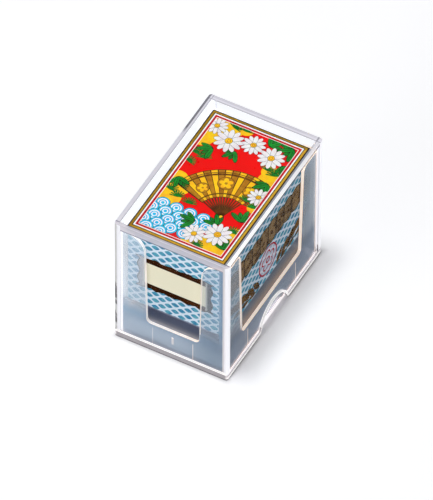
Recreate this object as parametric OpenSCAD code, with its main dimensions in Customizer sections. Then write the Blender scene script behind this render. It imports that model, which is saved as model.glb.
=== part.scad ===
// Flower-card deck, wrapped in printed paper, in a clear two-piece plastic case.
// Millimetres. X runs across the case, Y along it, Z up from the surface it stands on.

/* [Cards] */
// Length of a card
card_l = 54; // [48:0.5:64]
// Width of a card
card_w = 33; // [30:0.5:44]
// Thickness of one card
card_t = 0.64; // [0.5:0.02:0.9]
// Radius of a card's corners
card_corner_r = 1.2; // [0.4:0.1:3]
// Width of the backing paper folded over onto a card's face
card_fold_w = 0.9; // [0.4:0.1:2]
// Depth of a card's face below that fold
card_fold_t = 0.06; // [0.02:0.01:0.12]

/* [Wrapper] */
// Thickness of the wrapping paper
wrapper_t = 0.12; // [0.06:0.01:0.3]
// Width of the glued lap under the deck
wrapper_lap_w = 12; // [6:0.5:20]

/* [Title label] */
// How far the picture label stays inside the wrapped deck's edges
label_inset = 0.17; // [0:0.01:1]
// Thickness of the label at its picture
label_t = 0.45; // [0.3:0.05:1]
// Thickness left at the label's outer edge
label_edge_t = 0.25; // [0.1:0.05:0.3]
// Width of the label's bevelled border
label_bevel_w = 1.1; // [0.5:0.1:2.5]

/* [Tray] */
// Thickness of the tray's walls
tray_wall_t = 1; // [0.7:0.1:1.6]
// Thickness of the tray's floor
tray_floor_t = 1; // [0.7:0.1:1.6]
// Height of the floor, and of the window sills, above the foot
tray_floor_z = 10.3; // [8:0.1:16]
// Height of the raised island that carries the deck
island_h = 5.5; // [4.5:0.1:9]
// How far the island's sides lie inside the deck's
island_inset = 4; // [2:0.1:6]
// Radius of the island's corners
island_corner_r = 2; // [1.2:0.1:4]
// Radius of the tray's upright edges
tray_corner_r = 1.2; // [0.6:0.1:2]
// How far the tray's rim stays below the top of the wrapped deck
tray_rim_drop = 0.9; // [0:0.1:4]

/* [Windows] */
// Width of an end window at the rim
end_window_rim_w = 19.6; // [12:0.2:21]
// Width of an end window at its sill
end_window_sill_w = 18; // [10:0.2:20]
// Width of a side window at the rim
side_window_rim_w = 40; // [24:0.5:42]
// Width of a side window at its sill
side_window_sill_w = 37.2; // [20:0.2:40]
// Radius in the windows' lower corners
sill_corner_r = 1.6; // [0.5:0.1:3]
// Radius on top of the posts beside an end window
end_post_r = 6; // [1:0.1:7]
// Radius on top of the posts beside a side window
side_post_r = 2; // [1:0.1:5]

/* [Grip beads] */
// Height of a bead's middle above the foot
bead_z = 6.6; // [4:0.1:7]
// Height of a bead
bead_h = 2.8; // [1:0.1:4]
// Radius of a bead's face
bead_r = 0.6; // [0.4:0.05:1]
// How far a bead stands out of the tray's end wall
bead_proud = 0.2; // [0.1:0.02:0.24]

/* [Cover] */
// Thickness of the cover's walls
cover_wall_t = 1.1; // [0.8:0.1:1.8]
// Thickness of the cover's top
cover_top_t = 1.2; // [0.8:0.1:2]
// Radius of the cover's upright edges outside
cover_edge_r = 0.9; // [0.5:0.1:2]
// Radius of the cover's upright edges inside
cover_inner_r = 0.5; // [0.3:0.1:0.6]
// Width of the thumb notch in each long wall, before its lower corners are rounded
notch_w = 17; // [16:0.5:24]
// Height of the thumb notch
notch_h = 7.5; // [4:0.1:8]
// Radius where the thumb notch runs out into the foot
notch_foot_r = 2; // [0.5:0.1:3]

/* [Clearances] */
// Room between the cards' edges and the wrapper
card_fit = 0.05; // [0.02:0.01:0.1]
// Room between the deck and the tray's side walls
deck_side_fit = 0.45; // [0.2:0.05:1]
// Room between the deck and the tray's end walls
deck_end_fit = 0.5; // [0.2:0.05:1]
// Room between the tray and the cover's long walls
cover_side_fit = 0.2; // [0.12:0.02:0.4]
// Room between the tray and the cover's short walls
cover_end_fit = 0.3; // [0.26:0.02:0.5]
// Room between the label and the cover's top
headroom = 1.5; // [0.4:0.1:3]

/* [Hidden] */
$fn = 48;
// Length by which every cut runs past the face it opens
overrun = 2;

// The twelve flowers of the year, each with the four cards of its month
suits = [
    ["pine", ["crane", "ribbon", "plain_1", "plain_2"]],
    ["plum", ["warbler", "ribbon", "plain_1", "plain_2"]],
    ["cherry", ["curtain", "ribbon", "plain_1", "plain_2"]],
    ["wisteria", ["cuckoo", "ribbon", "plain_1", "plain_2"]],
    ["iris", ["bridge", "ribbon", "plain_1", "plain_2"]],
    ["peony", ["butterflies", "ribbon", "plain_1", "plain_2"]],
    ["clover", ["boar", "ribbon", "plain_1", "plain_2"]],
    ["pampas", ["moon", "geese", "plain_1", "plain_2"]],
    ["chrysanthemum", ["cup", "ribbon", "plain_1", "plain_2"]],
    ["maple", ["deer", "ribbon", "plain_1", "plain_2"]],
    ["willow", ["rain", "swallow", "ribbon", "lightning"]],
    ["paulownia", ["phoenix", "plain_1", "plain_2", "plain_3"]]
];
// From the top of the deck down; the spare card lies below the last of them
card_names = [for (suit = suits) for (kind = suit[1]) str("card_", suit[0], "_", kind)];

// Footprints of the wrapped deck and of its label
wrapper_gap = card_fit + wrapper_t;
deck_w = card_w + 2 * wrapper_gap;
deck_l = card_l + 2 * wrapper_gap;
label_w = deck_w - 2 * label_inset;
label_l = deck_l - 2 * label_inset;

// Footprints of the tray, the island and the cover
well_w = deck_w + 2 * deck_side_fit;
well_l = deck_l + 2 * deck_end_fit;
tray_w = well_w + 2 * tray_wall_t;
tray_l = well_l + 2 * tray_wall_t;
island_w = deck_w - 2 * island_inset;
island_l = deck_l - 2 * island_inset;
cover_inner_w = tray_w + 2 * cover_side_fit;
cover_inner_l = tray_l + 2 * cover_end_fit;
cover_w = cover_inner_w + 2 * cover_wall_t;
cover_l = cover_inner_l + 2 * cover_wall_t;

// Heights, from the foot upwards
island_top_z = tray_floor_z + island_h;
wrapper_z = island_top_z + wrapper_t;
stack_z = wrapper_z + wrapper_t;
stack_h = (len(card_names) + 1) * card_t;
wrapper_top_z = stack_z + stack_h + wrapper_t;
label_top_z = wrapper_top_z + label_t;
ceiling_z = label_top_z + headroom;
cover_h = ceiling_z + cover_top_t;
rim_z = wrapper_top_z - tray_rim_drop;

// Thumb notch: the circle that gives its width at the foot and its height
notch_r = (pow(notch_w / 2, 2) + pow(notch_h, 2)) / (2 * notch_h);
notch_z = notch_h - notch_r;

// A rectangle about the origin with true round corners
module rounded_rect(w, l, r) {
    square([w - 2 * r, l], center = true);
    square([w, l - 2 * r], center = true);
    for (x = [-1, 1], y = [-1, 1])
        translate([x * (w / 2 - r), y * (l / 2 - r)])
            circle(r);
}

// An upright prism on a rounded rectangle, between two heights
module rounded_block(w, l, r, z_low, z_high) {
    translate([0, 0, z_low])
        linear_extrude(z_high - z_low)
            rounded_rect(w, l, r);
}

// Outline of a window: round lower corners, slanting sides, and the posts rounded over at the rim.
// It is drawn about x = 0 with the tray's heights as its y.
module window_outline(rim_w, sill_w, post_r) {
    lean = atan2((rim_w - sill_w) / 2, rim_z - tray_floor_z);
    sill_centre = [
        sill_w / 2 + sill_corner_r * (tan(lean) - 1 / cos(lean)),
        tray_floor_z + sill_corner_r
    ];
    sill_tangent = sill_centre + sill_corner_r * [cos(lean), -sin(lean)];
    post_centre = [
        rim_w / 2 - post_r * (tan(lean) - 1 / cos(lean)),
        rim_z - post_r
    ];
    post_tangent = post_centre - post_r * [cos(lean), -sin(lean)];
    for (side = [0, 1])
        mirror([side, 0]) {
            translate(sill_centre)
                circle(sill_corner_r);
            polygon([
                [0, tray_floor_z],
                [sill_centre[0], tray_floor_z],
                sill_tangent,
                post_tangent,
                [post_tangent[0], rim_z + overrun],
                [0, rim_z + overrun]
            ]);
            difference() {
                polygon([
                    post_tangent,
                    post_centre,
                    [post_centre[0], rim_z + overrun],
                    [post_tangent[0], rim_z + overrun]
                ]);
                translate(post_centre)
                    circle(post_r);
            }
        }
}

// One card of laminated board: black backing paper folded over the rim of a pale face
module card(z) {
    color("ivory")
        translate([0, 0, z])
            difference() {
                rounded_block(card_w, card_l, card_corner_r, 0, card_t);
                translate([0, 0, card_t - card_fold_t])
                    linear_extrude(card_fold_t + overrun)
                        square([card_w - 2 * card_fold_w, card_l - 2 * card_fold_w], center = true);
            }
}

// Printed paper folded round the stack, with its glued lap underneath
module wrapper() {
    color("steelblue") {
        difference() {
            rounded_block(deck_w, deck_l, card_corner_r + wrapper_gap, wrapper_z, wrapper_top_z);
            rounded_block(
                deck_w - 2 * wrapper_t, deck_l - 2 * wrapper_t, card_corner_r + card_fit,
                stack_z, stack_z + stack_h
            );
        }
        translate([-wrapper_lap_w / 2, -card_l / 2, island_top_z])
            cube([wrapper_lap_w, card_l, wrapper_t]);
    }
}

// Side view of the label across a given width: a flat plate with both edges bevelled
module label_profile(width) {
    polygon([
        [-width / 2, 0],
        [width / 2, 0],
        [width / 2, label_edge_t],
        [width / 2 - label_bevel_w, label_t],
        [label_bevel_w - width / 2, label_t],
        [-width / 2, label_edge_t]
    ]);
}

// Picture label on top of the wrapped deck, bevelled on all four sides
module title_label() {
    color("firebrick")
        translate([0, 0, wrapper_top_z])
            intersection() {
                rotate([90, 0, 0])
                    linear_extrude(label_l, center = true)
                        label_profile(label_w);
                rotate([90, 0, 90])
                    linear_extrude(label_w, center = true)
                        label_profile(label_l);
            }
}

// A window cut through a wall whose outer face lies at the given distance from the middle
module window_cut(wall_face, rim_w, sill_w, post_r) {
    translate([0, -wall_face + tray_wall_t, 0])
        rotate([90, 0, 0])
            linear_extrude(tray_wall_t + overrun)
                window_outline(rim_w, sill_w, post_r);
}

// Hazy tray: skirt, floor, hollow island under the deck, and four windows between corner posts
module tray() {
    color("lightsteelblue", 0.5)
        difference() {
            union() {
                difference() {
                    rounded_block(tray_w, tray_l, tray_corner_r, 0, rim_z);
                    translate([-well_w / 2, -well_l / 2, tray_floor_z])
                        cube([well_w, well_l, rim_z]);
                    for (turn = [0, 180]) {
                        rotate([0, 0, turn])
                            window_cut(tray_l / 2, end_window_rim_w, end_window_sill_w, end_post_r);
                        rotate([0, 0, turn + 90])
                            window_cut(tray_w / 2, side_window_rim_w, side_window_sill_w, side_post_r);
                    }
                }
                rounded_block(
                    island_w, island_l, island_corner_r, tray_floor_z - tray_floor_t, island_top_z
                );
                for (end = [-1, 1])
                    translate([0, end * (tray_l / 2 + bead_proud - bead_r), bead_z - bead_h / 2])
                        cylinder(h = bead_h, r = bead_r);
            }
            translate([-well_w / 2, -well_l / 2, -overrun])
                cube([well_w, well_l, tray_floor_z - tray_floor_t + overrun]);
            rounded_block(
                island_w - 2 * tray_wall_t, island_l - 2 * tray_wall_t, island_corner_r - tray_wall_t,
                0, island_top_z - tray_floor_t
            );
        }
}

// Outline of the thumb notch: an arc whose ends are rounded over into the foot.
// It is drawn about x = 0 with the cover's heights as its y.
module notch_outline() {
    arc_centre = [0, notch_z];
    corner_centre = [
        sqrt(pow(notch_r + notch_foot_r, 2) - pow(notch_foot_r - notch_z, 2)),
        notch_foot_r
    ];
    arc_end = arc_centre + (corner_centre - arc_centre) * notch_r / (notch_r + notch_foot_r);
    translate(arc_centre)
        circle(notch_r);
    for (side = [0, 1])
        mirror([side, 0])
            difference() {
                polygon([
                    [0, arc_end[1]],
                    arc_end,
                    corner_centre,
                    [corner_centre[0], -overrun],
                    [0, -overrun]
                ]);
                translate(corner_centre)
                    circle(notch_foot_r);
            }
}

// Clear cover, open at the foot, with a thumb notch in the middle of each long wall
module cover() {
    color("white", 0.25)
        difference() {
            rounded_block(cover_w, cover_l, cover_edge_r, 0, cover_h);
            rounded_block(cover_inner_w, cover_inner_l, cover_inner_r, -overrun, ceiling_z);
            rotate([90, 0, 90])
                linear_extrude(cover_w + overrun, center = true)
                    notch_outline();
        }
}

cover();
tray();
wrapper();
title_label();
card(stack_z);  // spare_card
for (i = [0 : len(card_names) - 1])
    card(stack_z + stack_h - (i + 1) * card_t);
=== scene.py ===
import math

import bmesh
import bpy
from mathutils import Matrix, Vector


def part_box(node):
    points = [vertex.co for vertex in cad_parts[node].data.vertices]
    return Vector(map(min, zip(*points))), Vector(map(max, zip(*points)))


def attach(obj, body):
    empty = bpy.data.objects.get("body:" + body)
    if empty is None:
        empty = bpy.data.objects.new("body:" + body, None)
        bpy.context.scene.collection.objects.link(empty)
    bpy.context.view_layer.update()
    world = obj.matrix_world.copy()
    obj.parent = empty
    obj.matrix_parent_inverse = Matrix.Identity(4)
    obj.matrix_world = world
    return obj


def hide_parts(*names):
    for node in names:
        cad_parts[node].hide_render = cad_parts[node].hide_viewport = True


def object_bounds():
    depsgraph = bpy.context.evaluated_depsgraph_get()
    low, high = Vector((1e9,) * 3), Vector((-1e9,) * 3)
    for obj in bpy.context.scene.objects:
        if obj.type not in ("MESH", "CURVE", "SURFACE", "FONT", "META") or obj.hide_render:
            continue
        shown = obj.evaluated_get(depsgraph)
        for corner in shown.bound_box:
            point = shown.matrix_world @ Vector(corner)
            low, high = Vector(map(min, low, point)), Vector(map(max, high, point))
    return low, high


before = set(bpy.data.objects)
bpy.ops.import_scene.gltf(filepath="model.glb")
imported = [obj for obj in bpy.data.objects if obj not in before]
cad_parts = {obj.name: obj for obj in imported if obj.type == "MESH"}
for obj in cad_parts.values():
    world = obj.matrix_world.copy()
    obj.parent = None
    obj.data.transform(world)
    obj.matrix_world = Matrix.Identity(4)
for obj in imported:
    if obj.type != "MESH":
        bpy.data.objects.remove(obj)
cad_low, cad_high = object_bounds()

# Tray: one injection-moulded piece of milky plastic, with a skirt, a floor, a raised island that
# carries the deck, and four windows between corner posts. The mould leaves its edges softly rounded.
# Its cut edges look whiter than its walls, partly as the plastic seen edge-on and partly as painted
# highlights and a painted glow; painted light and shade also lie in the colour of its haze.
mm = 0.001
_, tray_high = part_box("tray")
tray_wall = 1.0 * mm
tray_bead = 0.2 * mm
tray_edge_soft = 0.3 * mm
tray_sill = 10.3 * mm
tray_half_w = tray_high.x
tray_half_l = tray_high.y - tray_bead
tray_blur = 0.03 * mm
seam_half_w, seam_top = 0.12 * mm, 8.755 * mm
end_seam_x, side_seam_y = 6.9 * mm, 15.18 * mm
foot_h, foot_rise_side, foot_rise_notch, foot_blur = 0.7 * mm, 0.5 * mm, 1.0 * mm, 0.1 * mm
notch_half_w, notch_blur = 6.4 * mm, 0.8 * mm
cut_lean, cut_lean_blur = 0.6, 0.15
right_fold_w, left_fold_w, fold_blur = 2.4 * mm, 0.8 * mm, 0.15 * mm
back_post_light_y, back_post_light_blur = 21.0 * mm, 1.0 * mm
long_side_blur, post_foot_shade_blur = 2.0 * mm, 4.0 * mm
lit_floor_rim_w, lit_floor_rim_blur = 2.4 * mm, 1.4 * mm
low_top, low_blur = 1.45 * tray_sill, 0.3 * tray_sill
foot_light_top, foot_light_blur = 2.2 * mm, 1.6 * mm
tray_small_face = (1.2 * mm) ** 2


class Wire:
    """A shader socket that adds, scales and masks like a number."""

    def __init__(self, socket):
        self.socket = socket

    def node(self, kind, settings=None, sockets=None, output=0):
        """Adds a node beside this socket's own and gives one of its outputs."""
        tree = self.socket.id_data
        made = tree.nodes.new(kind)
        for name, value in (settings or {}).items():
            setattr(made, name, value)
        for name, value in (sockets or {}).items():
            if isinstance(value, Wire):
                tree.links.new(value.socket, made.inputs[name])
            else:
                made.inputs[name].default_value = value
        return Wire(made.outputs[output]) if made.outputs else None

    def math(self, operation, *values):
        return self.node("ShaderNodeMath", {"operation": operation}, dict(enumerate(values)))

    def __add__(self, other):
        return self.math("ADD", self, other)

    def __sub__(self, other):
        return self.math("SUBTRACT", self, other)

    def __rsub__(self, other):
        return self.math("SUBTRACT", other, self)

    def __mul__(self, other):
        return self.math("MULTIPLY", self, other)

    def __truediv__(self, other):
        return self.math("DIVIDE", self, other)

    def __mod__(self, other):
        return self.math("FLOORED_MODULO", self, other)

    def __abs__(self):
        return self.math("ABSOLUTE", self)

    def __and__(self, other):
        return self.math("MINIMUM", self, other)

    def __or__(self, other):
        return self.math("MAXIMUM", self, other)

    __radd__ = __add__
    __rmul__ = __mul__

    def above(self, level, blur):
        """A mask that turns from 0 to 1 as the value passes the level."""
        sockets = {"Value": self, "From Min": level - blur, "From Max": level + blur}
        return self.node("ShaderNodeMapRange", {"interpolation_type": "SMOOTHSTEP"}, sockets)

    def below(self, level, blur):
        """A mask that turns from 1 to 0 as the value passes the level."""
        return 1 - self.above(level, blur)

    def line(self, middle, half_w, blur):
        """A mask of the values that lie within a half width of the middle."""
        return abs(self - middle).below(half_w, blur)

    def paint(self, under, over):
        """Lays the colour over upon the colour under, where this mask is 1."""
        return self.node("ShaderNodeMix", {"data_type": "RGBA"}, {0: self, 6: under, 7: over}, 2)

    def axes(self):
        split = self.node("ShaderNodeSeparateXYZ", None, {0: self})
        outputs = split.socket.node.outputs
        return [Wire(outputs[axis]) for axis in "XYZ"]

    def noise(self, scale, detail=2.0):
        sockets = {"Vector": self, "Scale": scale, "Detail": detail}
        return self.node("ShaderNodeTexNoise", None, sockets)

    def bump(self, distance, strength=1.0):
        sockets = {"Height": self, "Distance": distance, "Strength": strength}
        return self.node("ShaderNodeBump", None, sockets)

    def normal(self):
        """Wires from the three parts of the surface's normal."""
        return self.node("ShaderNodeNewGeometry", None, None, "Normal").axes()

    def brighter(self, times):
        """This colour, made brighter by a factor."""
        return self.node("ShaderNodeVectorMath", {"operation": "SCALE"}, {0: self, "Scale": times})

    def show(self):
        """Makes this shader the material's surface."""
        self.node("ShaderNodeOutputMaterial", None, {"Surface": self})


def new_finish(name):
    """A bare material, and a wire from its Object coordinates."""
    finish = bpy.data.materials.new(name)
    finish.use_nodes = True
    finish.node_tree.nodes.clear()
    place = finish.node_tree.nodes.new("ShaderNodeTexCoord")
    return finish, Wire(place.outputs["Object"])


def srgb(red, green, blue):
    """A colour given as on a screen, 0 to 255, as the linear colour that shaders take."""
    return tuple((c / 255) ** 2.2 for c in (red, green, blue)) + (1.0,)


def see_through(place, clear, milk_and_light, painted_glow, haze, roughness, bend, lamp_light):
    """Clear plastic with a share of milky haze in it, whose colour carries painted light and shade, and a
    painted glow in its edges that stands in for the light they would gather.
    """
    back_share, edge_glow_strength = 0.12, 0.3
    ripple = place.noise(180.0).bump(distance=0.02 * mm, strength=0.2)
    glass = place.node("ShaderNodeBsdfGlass", None, {
        "Color": clear, "Roughness": roughness, "IOR": bend, "Normal": ripple})
    milk_front = place.node("ShaderNodeBsdfDiffuse", None, {"Color": milk_and_light})
    milk_back = place.node("ShaderNodeBsdfTranslucent", None, {"Color": milk_and_light})
    cloud = place.node("ShaderNodeMixShader", None, {0: back_share, 1: milk_front, 2: milk_back})
    painted_edge_glow = place.node("ShaderNodeEmission", None, {"Color": painted_glow, "Strength": edge_glow_strength})
    cloud = place.node("ShaderNodeAddShader", None, {0: cloud, 1: painted_edge_glow})
    plastic = place.node("ShaderNodeMixShader", None, {0: haze, 1: glass, 2: cloud})
    shadow_ray = place.node("ShaderNodeLightPath", None, None, "Is Shadow Ray")
    passing = place.node("ShaderNodeBsdfTransparent", None, {"Color": lamp_light})
    place.node("ShaderNodeMixShader", None, {0: shadow_ray, 1: plastic, 2: passing}).show()


def softened_copy(node, radius):
    """A copy of a moulded node with its sharp edges rounded over."""
    shape = bmesh.new()
    shape.from_mesh(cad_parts[node].data)
    bmesh.ops.remove_doubles(shape, verts=shape.verts, dist=0.002 * mm)
    bmesh.ops.dissolve_limit(
        shape, angle_limit=math.radians(1), verts=shape.verts, edges=shape.edges)
    sharp = [e for e in shape.edges if e.calc_face_angle(0) > math.radians(40)]
    bmesh.ops.bevel(
        shape, geom=sharp, offset=radius, offset_type="OFFSET", affect="EDGES", segments=3,
        profile=0.5, material=-1, clamp_overlap=True)
    return shape


def finished_piece(shape, name, body, slot, *finishes):
    """Makes an object of a bmesh, with its finishes and its body. The slot argument is not used."""
    mesh = bpy.data.meshes.new(name)
    shape.to_mesh(mesh)
    shape.free()
    piece = bpy.data.objects.new(name, mesh)
    bpy.context.scene.collection.objects.link(piece)
    for finish in finishes:
        mesh.materials.append(finish)
    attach(piece, body)
    return piece


def beside_deck(place):
    """A mask of the long sides of the tray."""
    across, along, _ = place.axes()
    from_side, from_end = tray_half_w - abs(across), tray_half_l - abs(along)
    return (from_end - from_side).above(0.0, long_side_blur)


def tray_highlights(place):
    """Masks of the tray's whiter parts, mostly painted highlights: all of them together, and the foot
    alone.
    """
    across, along, up = place.axes()
    lean_x, lean_y, _ = place.normal()
    from_side, from_end = tray_half_w - abs(across), tray_half_l - abs(along)
    # Painted highlights: the cut edges and corners are painted whiter, partly as the plastic seen
    # edge-on.
    end_cut = from_end.below(tray_wall, tray_blur) * abs(lean_y).below(cut_lean, cut_lean_blur)
    side_cut = from_side.below(tray_wall, tray_blur) * abs(lean_x).below(cut_lean, cut_lean_blur)
    corner = (from_side | from_end).below(0.9 * tray_wall, 0.3 * tray_wall) * 0.35
    end_seam = abs(across).line(end_seam_x, seam_half_w, tray_blur) * abs(lean_y)
    side_seam = abs(along).line(side_seam_y, seam_half_w, tray_blur) * abs(lean_x)
    seam = (end_seam | side_seam) * up.below(seam_top, tray_blur)
    # The mould seams are real marks; they are made stronger towards the right, as painted light.
    seam = seam * (0.6 + 0.3 * across / tray_half_w)
    # Painted highlight: the foot is painted white, less on the inner faces of the long walls.
    at_notch = abs(along).below(notch_half_w, notch_blur)
    rise = up - abs(lean_x) * (foot_rise_side + at_notch * foot_rise_notch)
    outer_face = across.above(tray_half_w - 0.4 * tray_wall, 0.1 * tray_wall)
    behind = beside_deck(place) * (1 - at_notch) * (1 - outer_face)
    foot = rise.below(foot_h, foot_blur) * (1 - behind * 0.7)
    # Painted highlight: the bead is painted whiter.
    bead = (0 - from_end).above(0.3 * tray_bead, 0.25 * tray_bead) * 0.6
    return end_cut | side_cut | corner | seam | foot | bead, foot


def tray_milk_and_light(place, leftward):
    """The colour of the tray's milky haze, with painted light and shade laid in it, how thick the haze
    is, and where the floor glows.
    """
    across, along, up = place.axes()
    lean_x, lean_y, _ = place.normal()
    from_wall = (tray_half_w - abs(across)) & (tray_half_l - abs(along))
    low = up.below(low_top, low_blur)
    inner = from_wall.above(1.2 * tray_wall, tray_blur)
    shade_under_deck = from_wall.above(lit_floor_rim_w, lit_floor_rim_blur)
    beside = beside_deck(place)

    # Painted light: the walls and the skirt are lighter towards the left, the skirt's long sides take a
    # tone of their own, and the skirt is painted lighter near the foot.
    wall_milk_and_light = leftward.paint(srgb(198, 209, 219), srgb(242, 248, 253))
    skirt_milk_and_light = leftward.above(0.3, 0.2).paint(srgb(162, 180, 197), srgb(193, 207, 222))
    skirt_milk_and_light = (abs(lean_x) * 0.8).paint(skirt_milk_and_light, srgb(176, 188, 206))
    painted_foot_light = up.below(foot_light_top, foot_light_blur) * (0.6 - abs(lean_x) * 0.42)
    skirt_milk_and_light = painted_foot_light.paint(skirt_milk_and_light, srgb(228, 232, 240))
    # Painted shade: the posts are darker just above the sill, under the deck, and lighter towards the
    # left.
    post_foot_shade = leftward.paint(srgb(128, 148, 170), srgb(154, 182, 204))
    skirt_milk_and_light = up.above(tray_sill, post_foot_shade_blur).paint(skirt_milk_and_light, post_foot_shade)
    # Painted light and shade on the tray's floor: lighter near the walls, peach on the long sides, and
    # darker under the deck.
    lit_floor_rim = beside.paint(srgb(216, 210, 210), srgb(250, 210, 180))
    shaded_floor_mid = beside.paint(srgb(154, 159, 182), srgb(196, 203, 216))
    milk_and_light = inner.paint(low.paint(wall_milk_and_light, skirt_milk_and_light), shade_under_deck.paint(lit_floor_rim, shaded_floor_mid))
    # Painted shade: the front and back faces are darker where they turn round the corners, more so on the
    # right.
    folded = (across - (tray_half_w - right_fold_w)) | (left_fold_w - tray_half_w - across)
    folded = folded.above(0.0, fold_blur) * abs(lean_y) * (1 - inner)
    milk_and_light = (folded * (1 - low)).paint(milk_and_light, srgb(136, 158, 180))

    # The haze varies at random, and carries painted light: it is thicker towards the left, on the
    # long-side posts, and more so on the back ones.
    back_post_light = 0.14 + along.above(back_post_light_y, back_post_light_blur) * 0.14
    clouding_and_light = (place.noise(110.0) - 0.5) * 0.06 + leftward * 0.1
    clouding_and_light = clouding_and_light + abs(lean_x) * (1 - low) * back_post_light
    haze = (inner | low | folded) * 0.4 + clouding_and_light + 0.14
    return milk_and_light, haze, inner * beside * (1 - shade_under_deck) * 0.25


def milky_plastic(name, lamp_light):
    """The tray's plastic: hazy walls, thicker low down, with faint mould seams, cut edges with painted
    highlights and a painted glow that is brighter on the right wall, and painted light and shade in its
    haze.
    """
    finish, place = new_finish(name)
    across, _, _ = place.axes()
    leftward = 0.5 - across / (2 * tray_half_w)
    white, foot = tray_highlights(place)
    milk_and_light, haze, floor_glow = tray_milk_and_light(place, leftward)
    # Painted highlights: white at the left, cream at the right and at the foot.
    edge_highlight = leftward.paint(srgb(255, 232, 212), srgb(255, 252, 250))
    edge_highlight = foot.paint(edge_highlight, srgb(255, 250, 252))
    right_wall_glow = across.above(tray_half_w - 1.2 * tray_wall, tray_blur) * (1 - foot * 0.4)
    painted_glow = (white | floor_glow).paint(srgb(0, 0, 0), edge_highlight).brighter(1 + right_wall_glow * 1.1)
    see_through(
        place, clear=(0.985, 0.99, 0.998, 1.0), milk_and_light=white.paint(milk_and_light, edge_highlight), painted_glow=painted_glow,
        haze=(white * 0.95) | haze, roughness=0.02, bend=1.04, lamp_light=lamp_light)
    return finish


tray_shape = softened_copy("tray", tray_edge_soft)
bmesh.ops.bisect_plane(
    tray_shape, geom=tray_shape.verts[:] + tray_shape.edges[:] + tray_shape.faces[:],
    plane_co=(0, 0, tray_sill - tray_edge_soft), plane_no=(0, 0, 1))
for face in tray_shape.faces:
    middle = face.calc_center_median()
    from_wall = min(tray_half_w - abs(middle.x), tray_half_l - abs(middle.y))
    in_post = from_wall < 1.5 * tray_wall and middle.z > tray_sill - tray_edge_soft
    face.material_index = 0 if in_post else 1
    face.smooth = face.calc_area() < tray_small_face
post_plastic = milky_plastic("post_plastic", lamp_light=(0.95, 0.96, 0.98, 1.0))
skirt_plastic = milky_plastic("skirt_plastic", lamp_light=(0.18, 0.20, 0.24, 1.0))
tray = finished_piece(tray_shape, "tray_moulding", "tray", "hazy_plastic", post_plastic, skirt_plastic)
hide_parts("tray")

# Cards: laminated board with a pale printed face, and black backing paper that is folded over the
# rim of the face. They lie in one stack, sealed in the wrapper.
card_finish, place = new_finish("card_board")
card_x, card_y, _ = place.axes()
_, _, facing = place.normal()
card_half_w, card_half_l, card_fold, card_blur = 16.5 * mm, 27.0 * mm, 0.9 * mm, 0.02 * mm
past_fold = (abs(card_x) - card_half_w) | (abs(card_y) - card_half_l)
face_mask = past_fold.below(-card_fold, card_blur) * facing.above(0.5, 0.1)
fibres = place.noise(900.0)
lacquer = fibres.above(0.5, 0.4).paint(srgb(18, 17, 18), srgb(30, 27, 26))
pale = fibres.above(0.5, 0.4).paint(srgb(236, 226, 198), srgb(243, 235, 212))
place.node("ShaderNodeBsdfPrincipled", None, {
    "Base Color": face_mask.paint(lacquer, pale), "Roughness": 0.55 - 0.2 * fibres,
    "Normal": fibres.bump(distance=0.01 * mm, strength=0.4)}).show()
for name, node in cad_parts.items():
    if name.startswith("card_") or name == "spare_card":
        node.data.materials.clear()
        node.data.materials.append(card_finish)

# Wrapper: one sheet of smooth printed paper folded tightly round the stack and glued below. It has a
# blue net lattice all over, a cartouche on each end, and a brown band with leaf sprays on each side.
wrapper_low, wrapper_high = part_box("wrapper")
lap_t, lap_w = 0.12 * mm, 12.0 * mm
wrapper_size = wrapper_high - wrapper_low - Vector((0, 0, lap_t))
wrapper_corner = 1.37 * mm
wrapper_crease = 0.3 * mm
paper_small_face = (4 * mm) ** 2
ink_blur, outline_w, outline_blur = 0.05 * mm, 0.4 * mm, 0.08 * mm


def net_lattice(u, v, place):
    """Printed net: staggered rows of soft-cornered blue lozenges between white cords."""
    mesh_w, mesh_h, mesh_start, cord = 4.47 * mm, 2.95 * mm, 21.3 * mm, 0.345
    tent_u = abs(u / mesh_w % 1.0 - 0.5)
    tent_v = abs((v - mesh_start) / mesh_h % 1.0 - 0.5)
    swell = u.math("COSINE", tent_u * (2 * math.pi)) + v.math("COSINE", tent_v * (2 * math.pi))
    cell = (abs(2 * (tent_u + tent_v) - 1) * 0.4 + abs(swell) * 0.3).above(cord, 0.07)
    dye = place.noise(480.0).above(0.5, 0.16)
    blue = dye.paint(srgb(58, 124, 160), srgb(88, 158, 176))
    return cell.paint(srgb(203, 217, 229), blue)


def printed_paper(colour, place):
    """Smooth coated paper carrying a printed colour, with faint fibres."""
    fibres = place.noise(1400.0)
    place.node("ShaderNodeBsdfPrincipled", None, {
        "Base Color": colour, "Roughness": 0.36 + 0.2 * fibres, "Specular IOR Level": 0.0,
        "Normal": fibres.bump(distance=0.008 * mm, strength=0.5)}).show()


lattice_finish, place = new_finish("net_paper")
across, along, _ = place.axes()
printed_paper(net_lattice(across, along, place), place)

end_finish, place = new_finish("end_paper")
across, _, up = place.axes()
title_mid = 30.7 * mm
field_half_w, field_half_h = 10.4 * mm, 4.5 * mm
band_half_w, band_half_h = 12.6 * mm, 6.7 * mm
curl_h, curl_w, horn_z, horn_w = 6.0 * mm, 0.4 * mm, 6.0 * mm, 1.2 * mm
wave_w, wave_h, fray_h, ruling_h = 5.4 * mm, 0.25 * mm, 1.1 * mm, 0.42 * mm
horn_blur, clasp_highlight_fade, clasp_shade_turn, ruling_blur = 0.7 * mm, 0.5 * mm, 1.0 * mm, 0.1 * mm
net_painted_shade_z, net_painted_shade_blur = 24.0 * mm, 5.0 * mm
rise = up - title_mid
curl = rise.math("COSINE", rise * (2 * math.pi / curl_h)) * -curl_w
curl = curl + abs(rise).above(horn_z, horn_blur) * horn_w
wave = across.math("SINE", across * (2 * math.pi / wave_w)) * wave_h
wave = wave + (place.noise(700.0) - 0.5) * fray_h
past_band = (abs(across) - curl - band_half_w) | (abs(rise) + wave - band_half_h)
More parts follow.
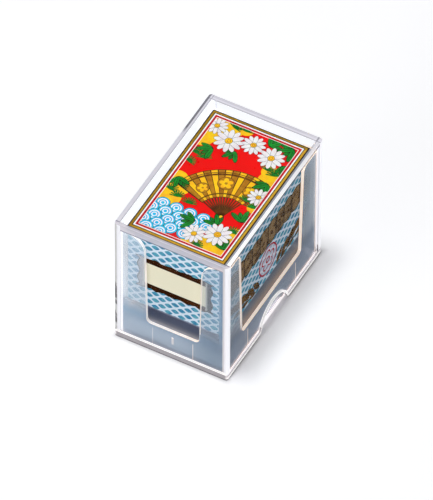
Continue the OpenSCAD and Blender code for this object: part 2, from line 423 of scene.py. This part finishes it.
past_field = (abs(across) - field_half_w) | (abs(rise) - field_half_h)
ruling = (rise % ruling_h).above(ruling_h / 2, ruling_blur)
cream = ruling.paint(srgb(234, 229, 206), srgb(212, 206, 176))
wood = place.noise(260.0).above(0.5, 0.3).paint(srgb(30, 10, 3), srgb(70, 42, 24))
# The grey ends of the cartouche are print with painted light laid on them: lighter on the left, darker on
# the right, and with a pale painted highlight along their inner edge.
clasp_and_light = across.above(0.0, clasp_shade_turn).paint(srgb(146, 144, 148), srgb(52, 52, 58))
clasp_and_light = abs(across).above(field_half_w + clasp_highlight_fade, clasp_highlight_fade).paint(srgb(190, 186, 178), clasp_and_light)
clasp_and_light = past_band.above(-outline_w, outline_blur).paint(clasp_and_light, srgb(46, 44, 52))
board = abs(across).above(field_half_w, ink_blur).paint(wood, clasp_and_light)
# Painted shade: the net is a little darker towards the bottom.
net_painted_shade = up.below(net_painted_shade_z, net_painted_shade_blur) * 0.08
end_print = net_painted_shade.paint(net_lattice(across, up, place), srgb(20, 30, 40))
end_print = past_band.below(0.0, ink_blur).paint(end_print, board)
end_print = past_field.below(0.0, ink_blur).paint(end_print, cream)
printed_paper(end_print, place)

side_finish, place = new_finish("side_paper")
_, along, up = place.axes()
band_mid, band_half, scallop_w, scallop_h = 34.9 * mm, 4.1 * mm, 5.0 * mm, 0.8 * mm
bark_blur, bark_line_blur = 0.06 * mm, 0.2 * mm
scallop = abs(along.math("SINE", along * (math.pi / scallop_w)))
past_bark = abs(up - band_mid) - band_half - scallop * scallop_h
furrow = scallop.below(0.2, 0.16) * 0.9
bark = place.noise(560.0).above(0.52, 0.12).paint(srgb(138, 110, 74), srgb(70, 48, 20))
bark = furrow.paint(bark, srgb(48, 36, 20))
bark = past_bark.above(-outline_w, bark_line_blur).paint(bark, srgb(34, 24, 12))
side_print = past_bark.below(0.0, bark_blur).paint(net_lattice(along, up, place), bark)
leaves = 0
for leaf_y, leaf_z, lean, leaf_l, leaf_w in (
        (7.2, 19.4, 50, 6.2, 1.2), (10.6, 20.0, 48, 6.6, 1.3), (14.0, 20.8, 46, 7.0, 1.35),
        (17.4, 21.8, 44, 7.2, 1.35), (20.8, 22.8, 42, 7.2, 1.35), (24.0, 23.8, 40, 6.8, 1.2),
        (9.6, 17.4, 12, 4.6, 0.8), (14.6, 18.1, 12, 5.0, 0.9), (19.6, 18.9, 12, 5.0, 0.9),
        (13.4, 17.9, 8, 18.0, 0.3)):
    turn = math.radians(lean)
    from_y, from_z = abs(along) - leaf_y * mm, up - leaf_z * mm
    run = (from_y * math.cos(turn) + from_z * math.sin(turn)) / (0.5 * leaf_l * mm)
    off = from_z * math.cos(turn) - from_y * math.sin(turn)
    leaves = ((1 - run * run) * (leaf_w * mm) - abs(off)).above(0.0, bark_blur) | leaves
leaf_brown = place.noise(400.0).above(0.5, 0.2).paint(srgb(116, 82, 34), srgb(66, 44, 16))
side_print = leaves.paint(side_print, leaf_brown)
mark_z, mark_ring_r, mark_eye_r, mark_line_half = 24.3 * mm, 5.4 * mm, 1.0 * mm, 0.3 * mm
petal_in, petal_out = 2.3 * mm, 3.8 * mm
mark_rise = up - mark_z
mark_r = along.math("SQRT", along * along + mark_rise * mark_rise)
mark_turn = along.math("ARCTAN2", along, mark_rise)
petals = abs(mark_turn.math("COSINE", mark_turn * 2.5)) * (petal_out - petal_in) + petal_in
lines = abs(mark_r - mark_ring_r) & abs(mark_r - petals) & abs(mark_r - mark_eye_r)
paler = mark_r.below(mark_ring_r, ink_blur) * 0.5
side_print = paler.paint(side_print, srgb(224, 214, 224))
side_print = lines.below(mark_line_half, outline_blur).paint(side_print, srgb(166, 20, 44))
printed_paper(side_print, place)

paper = bmesh.new()
bmesh.ops.create_cube(paper, size=1.0)
bmesh.ops.scale(paper, vec=wrapper_size, verts=paper.verts)
wrapper_middle = (wrapper_low + wrapper_high + Vector((0, 0, lap_t))) / 2
bmesh.ops.translate(paper, vec=wrapper_middle, verts=paper.verts)
upright = [e for e in paper.edges if abs(e.verts[0].co.z - e.verts[1].co.z) > mm]
bmesh.ops.bevel(
    paper, geom=upright, offset=wrapper_corner, affect="EDGES", segments=6, profile=0.5, material=-1)
level = [e for e in paper.edges if e.calc_face_angle(0) > math.radians(60)]
bmesh.ops.bevel(
    paper, geom=level, offset=wrapper_crease, affect="EDGES", segments=3, profile=0.5, material=-1)
lap = bmesh.ops.create_cube(paper, size=1.0)["verts"]
bmesh.ops.scale(paper, vec=(lap_w, wrapper_size.y - 2 * wrapper_crease, lap_t), verts=lap)
bmesh.ops.translate(paper, vec=(0, 0, wrapper_low.z + lap_t / 2), verts=lap)
for face in paper.faces:
    normal = face.normal
    if abs(normal.z) > 0.7:
        face.material_index = 0
    else:
        face.material_index = 1 if abs(normal.y) > abs(normal.x) else 2
    face.smooth = face.calc_area() < paper_small_face
wrapper = finished_piece(
    paper, "wrapper_paper", "deck", "wrapping_paper", lattice_finish, end_finish, side_finish)
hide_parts("wrapper")

# Title label: a card-sized plate of printed board on top of the wrapper. Its bevelled border is gold,
# with fine white and crimson lines inside it round a red picture ground.
_, label_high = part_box("title_label")
label_half_w, label_half_l = label_high.x, label_high.y
label_finish, place = new_finish("label_board")
across, along, _ = place.axes()
from_edge = (label_half_w - abs(across)) & (label_half_l - abs(along))
grain = place.noise(800.0)
rubbed = place.noise(300.0)
gilt_start, gilt_end, picture_start, line_blur = 0.38 * mm, 1.00 * mm, 2.66 * mm, 0.03 * mm
border = [
    (gilt_end, srgb(30, 16, 4)),
    (1.28 * mm, srgb(250, 250, 248)),
    (1.74 * mm, srgb(190, 10, 30)),
    (2.44 * mm, srgb(250, 248, 244)),
    (picture_start, srgb(228, 16, 12)),
]
colour = rubbed.above(0.5, 0.3).paint(srgb(206, 160, 48), srgb(186, 138, 30))
colour = from_edge.below(gilt_start, line_blur).paint(colour, srgb(34, 18, 4))
for start, shade in border:
    colour = from_edge.above(start, line_blur).paint(colour, shade)
gilded = from_edge.below(gilt_end, line_blur) * from_edge.above(gilt_start, line_blur)
place.node("ShaderNodeBsdfPrincipled", None, {
    "Base Color": colour, "Metallic": gilded * 0.6, "Roughness": 0.24 + 0.12 * grain,
    "Specular IOR Level": 0.2, "Normal": grain.bump(distance=0.006 * mm, strength=0.4)}).show()
label_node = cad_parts["title_label"]
label_node.data.materials.clear()
label_node.data.materials.append(label_finish)

# Label picture: flat printed inks on the red ground, each ink a layer of its own. It shows a folding
# fan, white chrysanthemums, bamboo leaves, pine needles and rows of waves among yellow clouds, with
# black outlines. Its measures are in millimetres from the middle of the label.
picture_half_w, picture_half_l = label_half_w - picture_start, label_half_l - picture_start
ink_step = 0.008 * mm
ink_colours = {
    "black": (srgb(20, 14, 10), srgb(34, 24, 16)),
    "yellow": (srgb(250, 204, 20), srgb(246, 178, 30)),
    "white": (srgb(250, 248, 246), srgb(244, 234, 236)),
    "cyan": (srgb(44, 200, 236), srgb(30, 176, 226)),
    "green": (srgb(24, 146, 44), srgb(14, 112, 34)),
    "bronze": (srgb(182, 124, 28), srgb(160, 100, 18)),
    "brown": (srgb(110, 66, 14), srgb(84, 48, 10)),
}
inks = {ink: bmesh.new() for ink in ink_colours}
cloud_level, wave_level, fan_level, needle_level, spray_level, flower_level = 1, 2, 3, 5, 8, 16


def ink_place(x, y, level, turn=0.0, length=1.0, width=1.0):
    """Where a printed shape lies on the label, and how far it is stretched."""
    at = Matrix.Translation((x * mm, y * mm, label_high.z + level * ink_step))
    return at @ Matrix.Rotation(turn, 4, "Z") @ Matrix.Diagonal((length * mm, width * mm, 1.0, 1.0))


def spot(ink, x, y, level, length, width, turn=0.0, sides=28):
    """An oval of ink, given by its two half lengths."""
    bmesh.ops.create_circle(
        inks[ink], cap_ends=True, radius=1.0, segments=sides,
        matrix=ink_place(x, y, level, turn, length, width))


def ring(ink, x, y, level, inner, outer, start=0.0, sweep=2 * math.pi, steps=28):
    """A ring of ink, or a part of one."""
    shape = inks[ink]
    at = ink_place(x, y, level)
    ray = Vector((math.cos(start) * mm, math.sin(start) * mm, 0.0))
    ends = [shape.verts.new(at.translation + ray * radius) for radius in (inner, outer)]
    edge = shape.edges.new(ends)
    bmesh.ops.spin(
        shape, geom=ends + [edge], cent=at.translation, axis=(0, 0, 1), angle=sweep, steps=steps)


def bar(ink, x, y, level, length, width, turn):
    """A straight bar of ink."""
    bmesh.ops.create_grid(
        inks[ink], x_segments=1, y_segments=1, size=0.5,
        matrix=ink_place(x, y, level, turn, length, width))


def away(x, y, turn, reach):
    """The point that lies in one direction from x, y, at a distance."""
    return x + math.cos(turn) * reach, y + math.sin(turn) * reach


def chrysanthemum(x, y, radius, level, petals=12, seeds=6):
    """Narrow white petals round a yellow eye, every other petal lying over its neighbours."""
    petal_reach, petal_l, petal_w, petal_line = radius * 0.58, radius * 0.46, radius * 0.2, 0.08
    eye_r, eye_line, seed_reach, seed_r = radius * 0.27, 0.13, radius * 0.12, radius * 0.04
    for layer in (0, 1):
        for count in range(layer, petals, 2):
            turn = 2 * math.pi * count / petals + 0.2
            out_x, out_y = away(x, y, turn, petal_reach)
            low = level + 2 * layer
            spot("black", out_x, out_y, low, petal_l, petal_w, turn)
            spot("white", out_x, out_y, low + 1, petal_l - petal_line, petal_w - petal_line, turn)
    spot("black", x, y, level + 4, eye_r, eye_r)
    spot("yellow", x, y, level + 5, eye_r - eye_line, eye_r - eye_line)
    for count in range(seeds):
        seed_x, seed_y = away(x, y, 2 * math.pi * count / seeds, seed_reach)
        spot("bronze", seed_x, seed_y, level + 6, seed_r, seed_r, sides=10)


def bamboo_leaf(x, y, length, turn, level):
    """One pointed leaf that grows from x, y, with a dark rib down its middle."""
    half_l, half_w, rib_l, rib_w = length / 2, length * 0.15, length * 0.7, 0.14
    mid_x, mid_y = away(x, y, turn, half_l)
    spot("black", mid_x, mid_y, level, half_l + 0.24, half_w + 0.2, turn, sides=10)
    spot("green", mid_x, mid_y, level + 1, half_l - 0.1, half_w, turn, sides=10)
    bar("black", mid_x, mid_y, level + 2, rib_l, rib_w, turn)


def bamboo_spray(x, y, size, turn, level):
    """Four leaves that spread from one point."""
    for count, spread in enumerate((-0.85, -0.3, 0.25, 0.8)):
        bamboo_leaf(x, y, size * (0.85 + 0.2 * (count % 2)), turn + spread, level + 3 * (count % 2))


def pine_tuft(x, y, size, turn, level):
    """A half-round fan of thin needles that spread from one point."""
    for count in range(9):
        needle = turn + (count - 4) * 0.36
        mid_x, mid_y = away(x, y, needle, size / 2)
        bar("black", mid_x, mid_y, level, size + 0.2, 0.42, needle)
        bar("green", mid_x, mid_y, level + 1, size, 0.24, needle)


for count, (x, y, radius) in enumerate((
        (-12.2, 21.2, 4.6), (-7.4, 23.0, 3.8), (-13.6, 15.4, 3.4), (-3.6, 24.4, 2.6), (-9.4, 17.6, 2.8),
        (13.2, 9.0, 4.6), (9.6, 5.4, 3.2), (13.8, 2.4, 3.6), (10.6, 12.4, 2.6), (13.6, -2.6, 2.4),
        (-12.6, -3.4, 3.6), (-13.8, -8.8, 3.6), (-10.2, -10.6, 2.8), (-9.4, -6.0, 2.6),
        (12.4, -22.2, 5.2), (7.0, -23.6, 3.8), (13.8, -15.8, 3.4), (2.8, -24.6, 2.8), (9.6, -17.8, 2.8))):
    spot("yellow", x, y, cloud_level + 0.02 * count, radius, radius, sides=40)

wave_r, wave_left, wave_top, wave_rows, wave_columns = 2.3, -16.2, -13.8, 5, 5
for row in range(wave_rows):
    for column in range(wave_columns - row // 2):
        x = wave_left + (2 * column + row % 2) * wave_r
        y = wave_top - row * 1.15 * wave_r
        level = wave_level + 2 * row
        spot("black", x, y, level, wave_r, wave_r, sides=36)
        for ink, inner, outer in (
                ("cyan", 0.74, 0.95), ("white", 0.56, 0.74), ("cyan", 0.40, 0.56), ("white", 0.24, 0.40)):
            ring(ink, x, y, level + 1, inner * wave_r, outer * wave_r)
        spot("cyan", x, y, level + 1, 0.24 * wave_r, 0.24 * wave_r)

fan_x, fan_y, fan_in, fan_out, fan_folds = 6.4, -10.6, 8.2, 19.0, 14
fan_start, fan_sweep = math.radians(66), math.radians(96)
fan_line, fold_gap, fold_sweep = 0.25, 0.008, fan_sweep / fan_folds
ring("black", fan_x, fan_y, fan_level, fan_in - fan_line, fan_out + fan_line,
     fan_start - 0.02, fan_sweep + 0.04, steps=48)
for fold in range(fan_folds):
    start = fan_start + fan_sweep * fold / fan_folds
    ink = "bronze" if fold % 2 else "yellow"
    ring(ink, fan_x, fan_y, fan_level + 1, fan_in, fan_out,
         start + fold_gap, fold_sweep - 2 * fold_gap, steps=4)
    rib = start + fold_sweep / 2
    mid_x, mid_y = away(fan_x, fan_y, rib, fan_in / 2 - 0.4)
    bar("black", mid_x, mid_y, fan_level, fan_in + 1.0, 0.52, rib)
    bar("brown", mid_x, mid_y, fan_level + 1, fan_in + 0.8, 0.28, rib)
for inner, outer in ((16.9, 17.6), (17.9, 18.2), (9.2, 9.7)):
    ring("brown", fan_x, fan_y, fan_level + 2, inner, outer, fan_start, fan_sweep, steps=48)
for turn, reach, size in ((1.35, 13.2, 2.1), (1.95, 13.6, 2.5), (2.5, 13.0, 1.9)):
    x, y = away(fan_x, fan_y, turn, reach)
    spot("brown", x, y, fan_level + 2, size + 0.2, size + 0.2, sides=36)
    spot("bronze", x, y, fan_level + 3, size, size, sides=36)
    for petal in range(5):
        lean = turn + 2 * math.pi * petal / 5
        petal_x, petal_y = away(x, y, lean, size * 0.52)
        spot("yellow", petal_x, petal_y, fan_level + 4, size * 0.36, size * 0.30, lean, sides=16)
spot("black", fan_x, fan_y, fan_level + 2, 0.9, 0.9)
spot("yellow", fan_x, fan_y, fan_level + 3, 0.6, 0.6)

for x, y, size, turn in (
        (-9.0, 12.6, 4.6, 3.9), (-2.4, 14.6, 4.2, 4.4), (5.6, 21.6, 4.4, 1.1), (12.8, 23.8, 5.0, 4.0),
        (12.9, 16.2, 4.2, 5.4), (12.6, 7.6, 4.6, 4.2), (7.0, -14.0, 4.2, 2.4), (12.8, -9.6, 4.6, 1.9),
        (0.2, -15.8, 4.6, 3.4), (-12.4, -2.4, 4.2, 5.2), (13.4, -21.8, 4.0, 2.0)):
    bamboo_spray(x, y, size, turn, spray_level)
for x, y, size, turn in (
        (-12.8, 8.6, 2.6, 1.5), (-9.4, 8.0, 2.4, 1.9), (-13.0, 4.6, 2.4, 1.2), (-3.4, 23.6, 2.4, 1.6),
        (-7.2, 23.2, 2.2, 1.2), (9.6, 12.6, 2.4, 1.5), (12.6, 11.6, 2.6, 1.9), (9.8, -1.4, 2.4, 1.4),
        (12.8, -3.0, 2.6, 1.7), (-12.4, -8.0, 2.6, 1.4), (-9.0, -9.6, 2.4, 1.8), (-10.4, -4.8, 2.4, 1.2),
        (6.4, 24.0, 2.2, 1.8), (12.4, -14.6, 2.6, 1.5), (5.2, -24.2, 2.2, 1.5), (-4.6, -10.4, 2.4, 1.7)):
    pine_tuft(x, y, size, turn, needle_level)
for x, y, radius in (
        (-6.2, 17.6, 4.6), (1.2, 19.6, 3.8), (8.4, 17.4, 4.2), (-12.2, 21.4, 3.4),
        (9.0, -17.4, 4.4), (2.6, -20.4, 3.6), (12.6, 1.6, 3.4)):
    chrysanthemum(x, y, radius, flower_level)

for ink, (light, dark) in ink_colours.items():
    shape = inks[ink]
    for side in ((1, 0, 0), (-1, 0, 0), (0, 1, 0), (0, -1, 0)):
        edge = Vector((side[0] * picture_half_w, side[1] * picture_half_l, 0))
        bmesh.ops.bisect_plane(
            shape, geom=shape.verts[:] + shape.edges[:] + shape.faces[:],
            plane_co=edge, plane_no=side, clear_outer=True)
    bmesh.ops.reverse_faces(shape, faces=[face for face in shape.faces if face.normal.z < 0])
    finish, place = new_finish(ink + "_ink")
    grain = place.noise(520.0)
    place.node("ShaderNodeBsdfPrincipled", None, {
        "Base Color": grain.above(0.52, 0.2).paint(light, dark), "Roughness": 0.34 + 0.12 * grain,
        "Specular IOR Level": 0.2, "Normal": grain.bump(distance=0.004 * mm, strength=0.4)}).show()
    finished_piece(shape, "label_ink_" + ink, "deck", "label_board", finish)

# Cover: one clear injection-moulded box, open at the foot, that drops over the tray. Its upright
# edges are rounded, and each long wall has a thumb notch at the foot. Its rims, corners, notch rim
# and foot carry painted highlights, painted reflections and a painted glow, whiter at the front right
# and greyer at the back left; the far rims look wider than the wall, because they show through the top
# plate.
_, cover_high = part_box("cover")
cover_edge_soft = 0.22 * mm
cover_wall = 1.1 * mm
cover_blur = 0.05 * mm
right_rim_w, front_rim_w, left_rim_w, back_rim_w = cover_wall, 0.35 * mm, 1.6 * mm, 2.05 * mm
top_face_depth, top_face_blur = 0.2 * mm, 0.1 * mm
corner_w, right_corner_less, corner_blur = 2.4 * mm, 0.7 * mm, 0.15 * mm
inner_line_w, front_edge_w, front_strip_w = 1.6 * mm, 1.3 * mm, 1.0 * mm
front_band_h, other_band_h = 2.5 * mm, 1.1 * mm
notch_z, notch_r, notch_rim_w = -1.07 * mm, 8.57 * mm, 0.6 * mm
white_foot_h, side_foot_less, grey_foot_h, dark_foot_h = 3.4 * mm, 1.0 * mm, 2.3 * mm, 0.55 * mm
foot_dip_z, foot_dip_half, foot_dip_blur = 1.9 * mm, 0.55 * mm, 0.12 * mm
cover_small_face = (3 * mm) ** 2

cover_finish, place = new_finish("clear_plastic")
across, along, up = place.axes()
lean_x, _, _ = place.normal()
from_side, from_end = cover_high.x - abs(across), cover_high.y - abs(along)
from_right, from_front = cover_high.x - across, cover_high.y + along
from_left, from_back = cover_high.x + across, cover_high.y - along
depth = cover_high.z - up
on_side = abs(lean_x)
on_top = depth.below(top_face_depth, top_face_blur)
on_front = from_front.below(cover_wall, cover_blur) * (1 - on_top)
on_right = from_right.below(cover_wall, cover_blur) * (1 - on_top)
in_wall = (from_side & from_end).below(cover_wall, cover_blur)
outer = (from_side & from_end).below(0.5 * cover_wall, cover_blur)
# Painted light: rims and edges are whiter towards the front right and greyer towards the back left.
rightward = (across / cover_high.x - along / cover_high.y).above(0.4, 0.8)

# Painted highlights: bands of haze on the upright corners, the top rims, the tops of the walls, the notch
# rim and the foot, standing in for light the edges gather.
from_corner = (from_side | from_end) + rightward * right_corner_less
corner = (1 - on_top) * from_corner.below(corner_w, corner_blur)
near_rim = (right_rim_w - from_right) | (front_rim_w - from_front)
far_rim = (left_rim_w - from_left) | (back_rim_w - from_back)
top_rim = on_top * (near_rim | far_rim).above(0.0, cover_blur)
inner_line = on_top * from_right.below(inner_line_w, cover_blur) * 0.6
front_band = on_front * depth.below(front_band_h, cover_blur) * 0.8
other_band = in_wall * (1 - on_front) * depth.below(other_band_h, cover_blur) * 0.7
notch_rise = up - notch_z
from_notch = along.math("SQRT", along * along + notch_rise * notch_rise) - notch_r
notch_rim = from_notch.below(notch_rim_w, cover_blur) * from_side.below(cover_wall, cover_blur) * 0.85
foot = outer * (up + on_side * side_foot_less).below(white_foot_h, cover_blur)
haze = (corner * 0.9) | (top_rim * 0.92) | (foot * 0.96) | notch_rim
haze = haze | inner_line | front_band | other_band

left_line_at, back_line_at, thin_line_half = 1.47 * mm, 1.92 * mm, 0.15 * mm
back_mid_at, top_line_at, line_half = 1.3 * mm, 1.1 * mm, 0.2 * mm
low_line_at, low_line_half = 2.3 * mm, 0.24 * mm
reflection_streak_w, reflection_streak_start, reflection_streak_blur = 0.8 * mm, 13.0 * mm, 2.0 * mm
fleck_top, fleck_top_blur = 25.0 * mm, 3.0 * mm
strip_blur, fleck_blur = 0.3 * mm, 0.15 * mm
strip_near, strip_near_blur, strip_far, strip_far_blur = 1.1 * mm, 0.2 * mm, 3.0 * mm, 1.0 * mm
back_mid = on_top * from_back.line(back_mid_at, line_half, cover_blur)
rim_line = from_left.line(left_line_at, thin_line_half, cover_blur)
rim_line = on_top * (rim_line | from_back.line(back_line_at, thin_line_half, cover_blur))
# Painted reflection: dark streaks along the back and left rims and edges.
reflection_streak = place.noise(70.0).above(0.56, 0.12) * (1 - rightward) * (1 - on_top)
left_reflection_streak = on_top * from_left.below(reflection_streak_w, cover_blur) * along.above(reflection_streak_start, reflection_streak_blur)
reflection_streak = reflection_streak | (left_reflection_streak * place.noise(160.0).above(0.32, 0.14))
front_edge = from_front.below(front_edge_w, cover_blur) * (1 - corner)
left_strip = on_front * from_left.below(front_strip_w, strip_blur)
# Dark flecks in the grey strip at the front wall's left edge, in its lower half.
dark_flecks = on_front * from_left.below(front_strip_w, fleck_blur) * up.below(fleck_top, fleck_top_blur)
dark_flecks = dark_flecks * place.noise(240.0).above(0.5, 0.05)
right_strip = from_right.above(strip_near, strip_near_blur) * on_front * corner
right_strip = right_strip * from_right.below(strip_far, strip_far_blur)
top_line = on_top * from_front.line(top_line_at, line_half, cover_blur)
low_line = on_front * depth.line(low_line_at, low_line_half, cover_blur) * (1 - corner)
right_band = on_right * depth.below(other_band_h, cover_blur) * (1 - corner)
foot_dip = on_side * up.line(foot_dip_z, foot_dip_half, foot_dip_blur) * (1 - notch_rim)
# The shade colour carries painted reflections as grey and dark lines, strips and bands along the rims,
# corners and foot, and painted highlights in white; the dark line at the very foot is painted shade.
grey_foot = on_side.paint(srgb(158, 153, 156), srgb(252, 247, 246))
dark_foot = on_side.paint(srgb(112, 110, 113), srgb(76, 74, 76))
shade = rightward.paint(srgb(198, 196, 205), srgb(252, 250, 248))
for mask, tone in (
        (back_mid, srgb(214, 211, 222)),
        (rim_line, srgb(166, 164, 174)),
        (reflection_streak * 0.85, srgb(72, 72, 82)),
        (corner, srgb(232, 232, 236)),
        (corner * (0 - lean_x).above(0.6, 0.2), srgb(150, 150, 160)),
        (inner_line * from_right.above(cover_wall, cover_blur), srgb(72, 72, 86)),
        (front_edge, srgb(196, 191, 199)),
        (left_strip, srgb(172, 171, 168)),
        (dark_flecks, srgb(66, 64, 62)),
        (right_strip * 0.9, srgb(186, 185, 190)),
        (top_line | low_line, srgb(128, 126, 140)),
        (right_band, srgb(82, 82, 92)),
        (notch_rim | foot, srgb(255, 252, 250)),
        (up.below(grey_foot_h, foot_blur), grey_foot),
        (foot_dip, srgb(178, 174, 177)),
        (up.below(dark_foot_h, foot_blur), dark_foot)):
    shade = mask.paint(shade, tone)
# The painted glow is brighter on the long walls.
painted_glow = shade.brighter(1 + on_side * 1.3)
see_through(
    place, clear=(0.99, 0.993, 0.996, 1.0), milk_and_light=shade, painted_glow=painted_glow, haze=haze, roughness=0.0,
    bend=1.03, lamp_light=(0.82, 0.82, 0.83, 1.0))

cover_shape = softened_copy("cover", cover_edge_soft)
for face in cover_shape.faces:
    face.smooth = face.calc_area() < cover_small_face
cover = finished_piece(cover_shape, "cover_moulding", "cover", "clear_plastic", cover_finish)
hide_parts("cover")

# Studio: a pale floor under a sky that is bright low down and dim overhead. A soft key lamp hangs high
# up at the left, with weaker lamps at the front, the right and the back. The floor shows white round
# the case and keeps its shadow; its glow fades out under the case and close round its foot, as a
# painted contact shadow.
floor_half, contact_shadow_reach, contact_shadow_blur = 3.0, 0.6 * mm, 1.6 * mm
floor_shape = bmesh.new()
bmesh.ops.create_grid(floor_shape, x_segments=1, y_segments=1, size=floor_half)
floor_mesh = bpy.data.meshes.new("floor")
floor_shape.to_mesh(floor_mesh)
floor_shape.free()
floor = bpy.data.objects.new("floor", floor_mesh)
bpy.context.scene.collection.objects.link(floor)
floor_finish, place = new_finish("pale_floor")
across, along, _ = place.axes()
# Painted shadow: the floor's glow fades out under the case and within a few millimetres of its foot.
past_case = (abs(across) - cad_high.x) | (abs(along) - cad_high.y)
past_contact_shadow = past_case.above(contact_shadow_reach, contact_shadow_blur)
rays = place.node("ShaderNodeLightPath", None, None, "Is Camera Ray").socket.node.outputs
seen = Wire(rays["Is Camera Ray"]) | Wire(rays["Is Glossy Ray"]) | Wire(rays["Is Transmission Ray"])
matt = place.node("ShaderNodeBsdfDiffuse", None, {"Color": (0.88, 0.885, 0.9, 1.0)})
glow = place.node("ShaderNodeEmission", None, {"Color": (1.0, 1.0, 1.0, 1.0), "Strength": 0.33})
white = place.node("ShaderNodeAddShader", None, {0: matt, 1: glow})
place.node("ShaderNodeMixShader", None, {0: seen * past_contact_shadow, 1: matt, 2: white}).show()
floor_mesh.materials.append(floor_finish)

world = bpy.data.worlds.new("studio")
bpy.context.scene.world = world
world.use_nodes = True
sky = world.node_tree.nodes["Background"]
sky_place = Wire(world.node_tree.nodes.new("ShaderNodeTexCoord").outputs["Generated"])
overhead = sky_place.axes()[2].above(0.2, 0.2)
sky_light = overhead.paint((0.62, 0.62, 0.63, 1.0), (0.11, 0.11, 0.12, 1.0))
world.node_tree.links.new(sky_light.socket, sky.inputs["Color"])
case_middle = (cad_low + cad_high) / 2


def soft_lamp(name, place, size, watts):
    """A square area lamp that faces the middle of the case."""
    lamp = bpy.data.lights.new(name, "AREA")
    lamp.size = size
    lamp.energy = watts
    holder = bpy.data.objects.new(name, lamp)
    holder.location = place
    holder.rotation_euler = (case_middle - Vector(place)).to_track_quat("-Z", "Y").to_euler()
    bpy.context.scene.collection.objects.link(holder)


soft_lamp("key_lamp", (-0.15, -0.07, 1.12), size=0.2, watts=6.9)
soft_lamp("front_lamp", (-0.35, -0.9, 0.22), size=0.5, watts=2.9)
soft_lamp("right_lamp", (1.0, -0.28, 0.2), size=0.6, watts=0.75)
soft_lamp("back_lamp", (-0.04, 0.75, 1.0), size=0.3, watts=0.7)

# Camera: far off with a long lens, as the photograph was taken, looking down on the front right edge.
view_turn, view_height, view_roll = math.radians(28.32), math.radians(48.08), math.radians(0.34)
photo_w, photo_h = 433, 500
case_px, scale_px = (218.6, 237.05), 3.3175 / mm
camera_distance = 3.0
backward = Vector((
    math.sin(view_turn) * math.cos(view_height),
    -math.cos(view_turn) * math.cos(view_height),
    math.sin(view_height)))
level_right = Vector((math.cos(view_turn), math.sin(view_turn), 0.0))
level_up = backward.cross(level_right)
right = level_right * math.cos(view_roll) + level_up * math.sin(view_roll)
upward = level_up * math.cos(view_roll) - level_right * math.sin(view_roll)
aim = case_middle - right * ((case_px[0] - photo_w / 2) / scale_px)
aim = aim - upward * ((photo_h / 2 - case_px[1]) / scale_px)
camera = bpy.data.cameras.new("camera")
camera.sensor_fit = "VERTICAL"
camera.sensor_height = 36.0
camera.lens = scale_px * camera_distance / photo_h * camera.sensor_height
camera.clip_end = 20.0
viewer = bpy.data.objects.new("camera", camera)
turn = Matrix((right, upward, backward)).transposed().to_4x4()
viewer.matrix_world = Matrix.Translation(aim + backward * camera_distance) @ turn
bpy.context.scene.collection.objects.link(viewer)
bpy.context.scene.camera = viewer
bpy.context.scene.view_settings.view_transform = "Standard"
